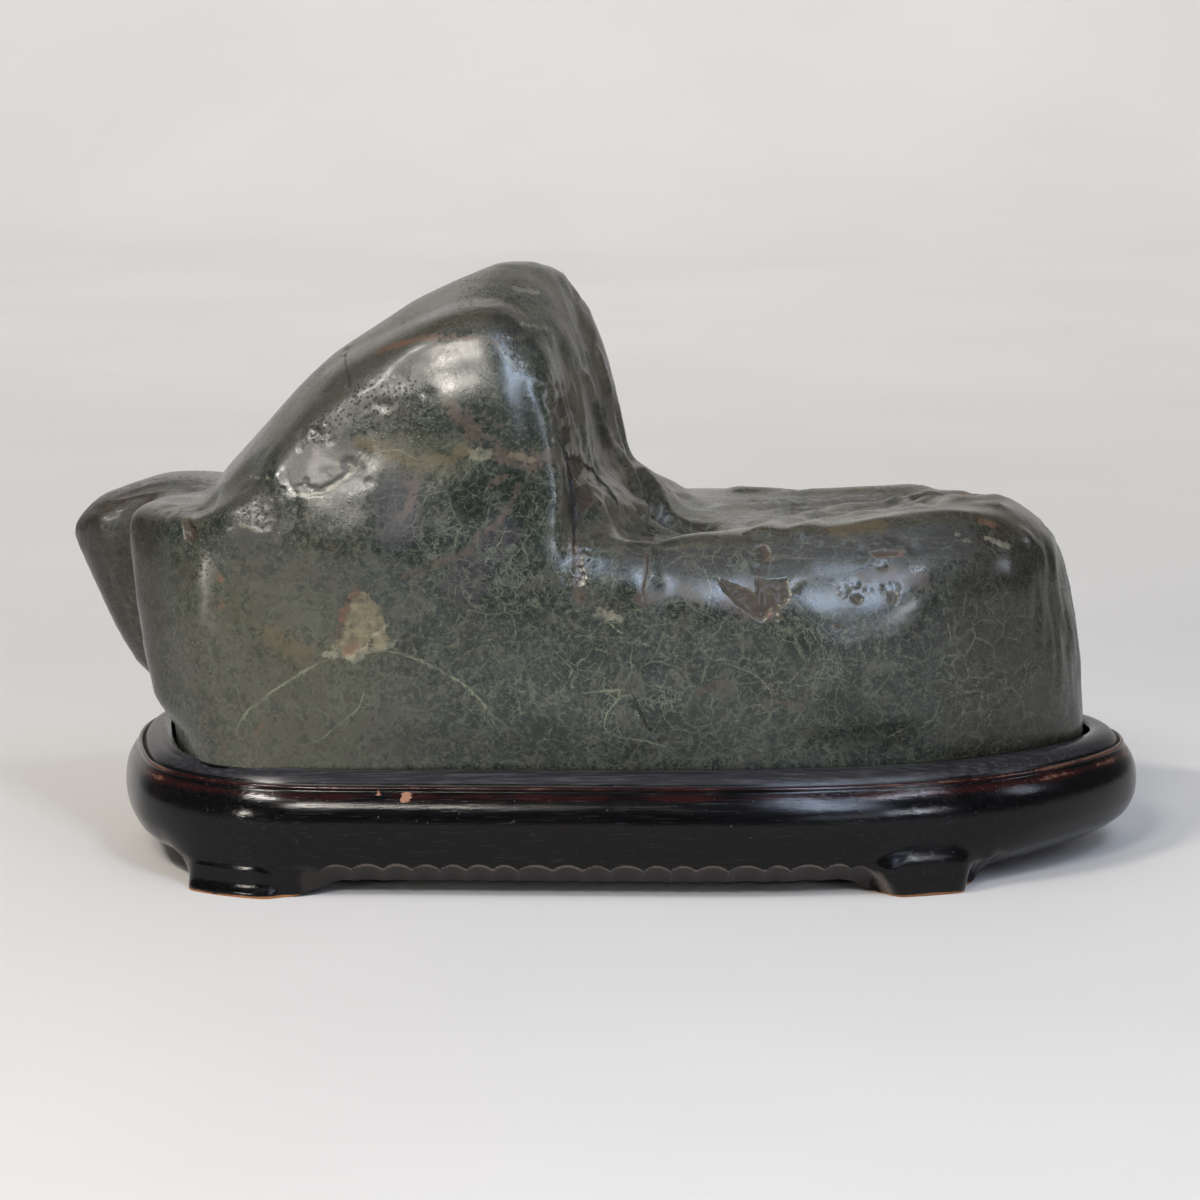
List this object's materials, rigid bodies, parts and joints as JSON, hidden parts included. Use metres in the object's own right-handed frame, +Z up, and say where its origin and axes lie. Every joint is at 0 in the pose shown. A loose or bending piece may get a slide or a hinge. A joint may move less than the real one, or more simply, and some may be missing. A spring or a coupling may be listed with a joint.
{
  "type": "scholar's rock on a carved wooden stand",
  "caption": "Worn, polished dark green viewing stone with a peak, a level shelf and an overhanging shoulder, standing in the fitted seat of a low, footed, lacquered wood stand.",
  "frame": {"origin": "under the middle of the whole in plan, on the surface that the feet stand on", "axes": "+X along the length, to the right of the display side; -Y towards the viewer; +Z up"},
  "size_m": [0.265, 0.1236, 0.1459],
  "materials": {
    "green_stone": "hard green stone, worn and hand-polished to a soft gloss, with pale green veins and rusty pits",
    "lacquered_wood": "dense hardwood under near-black lacquer, dark red where it is worn along the edges"
  },
  "bodies": {
    "root": {"stone": "green_stone", "stand": "lacquered_wood"}
  },
  "joints": []
}
